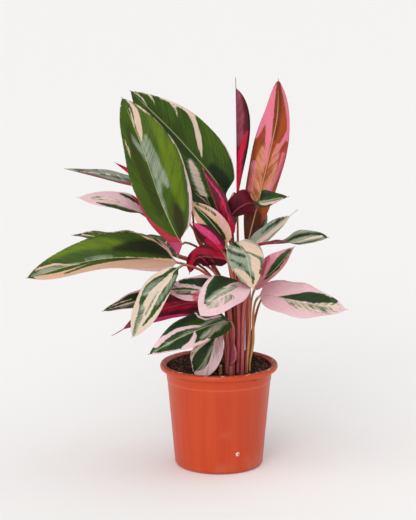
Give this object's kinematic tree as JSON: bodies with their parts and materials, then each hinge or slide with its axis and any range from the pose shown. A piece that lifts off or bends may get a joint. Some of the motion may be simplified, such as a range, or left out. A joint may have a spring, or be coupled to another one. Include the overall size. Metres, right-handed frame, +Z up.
{
  "type": "potted plant",
  "caption": "Stromanthe with lance-shaped green, cream, pink and crimson leaves on upright stalks, growing from soil in a round tapered plastic nursery pot.",
  "frame": {"origin": "centre of the pot's underside", "axes": "+Z up along the pot's axis, +X to the right and +Y away from the viewer as the plant is pictured"},
  "size_m": [0.4462, 0.2991, 0.559],
  "materials": {
    "pot_plastic": "moulded terracotta-coloured plastic, satin",
    "potting_soil": "dark crumbly potting soil, matt",
    "dry_stalk": "dry brown stalk, matt",
    "leaf_green": "glossy green leaf with sage and cream streaks, burgundy underneath",
    "leaf_cream": "glossy cream and sage leaf with dark green streaks",
    "leaf_pink": "glossy pale pink leaf with dark green streaks, crimson underneath",
    "leaf_crimson": "satin crimson underside of a leaf",
    "leaf_burgundy": "satin burgundy underside of a leaf",
    "leaf_coral": "satin underside of a leaf with pink and orange-brown bands"
  },
  "bodies": {
    "root": {"pot": "pot_plastic", "soil": "potting_soil", "cut_stub": "dry_stalk", "leaf_tall_left": "leaf_green", "leaf_tall_back": "leaf_green", "leaf_rolled": "leaf_burgundy", "leaf_tall_right": "leaf_coral", "leaf_arm_upper": "leaf_green", "leaf_spike_left": "leaf_crimson", "leaf_arm_pink": "leaf_pink", "leaf_broad_left": "leaf_green", "leaf_broad_left_back": "leaf_green", "leaf_hanging_left": "leaf_cream", "leaf_low_left": "leaf_green", "leaf_magenta_low": "leaf_crimson", "leaf_low_mid": "leaf_pink", "leaf_crimson_mid": "leaf_crimson", "leaf_front_mid": "leaf_pink", "leaf_front_low": "leaf_green", "leaf_pot_edge": "leaf_green", "leaf_front_top": "leaf_cream", "leaf_cup_right": "leaf_pink", "leaf_arm_right": "leaf_cream", "leaf_arm_right_up": "leaf_cream", "leaf_blue_back": "leaf_green", "leaf_twist_right": "leaf_burgundy", "leaf_rolled_red": "leaf_burgundy", "leaf_peach_mid": "leaf_cream", "leaf_crimson_edge": "leaf_burgundy", "leaf_broad_right": "leaf_pink", "leaf_far_left_high": "leaf_green", "leaf_far_right_high": "leaf_pink", "leaf_far_mid": "leaf_green", "leaf_far_low": "leaf_pink", "leaf_far_left_low": "leaf_cream", "leaf_far_right_low": "leaf_green", "leaf_far_left_mid": "leaf_green", "shoot_sheath": "leaf_pink"}
  },
  "joints": []
}
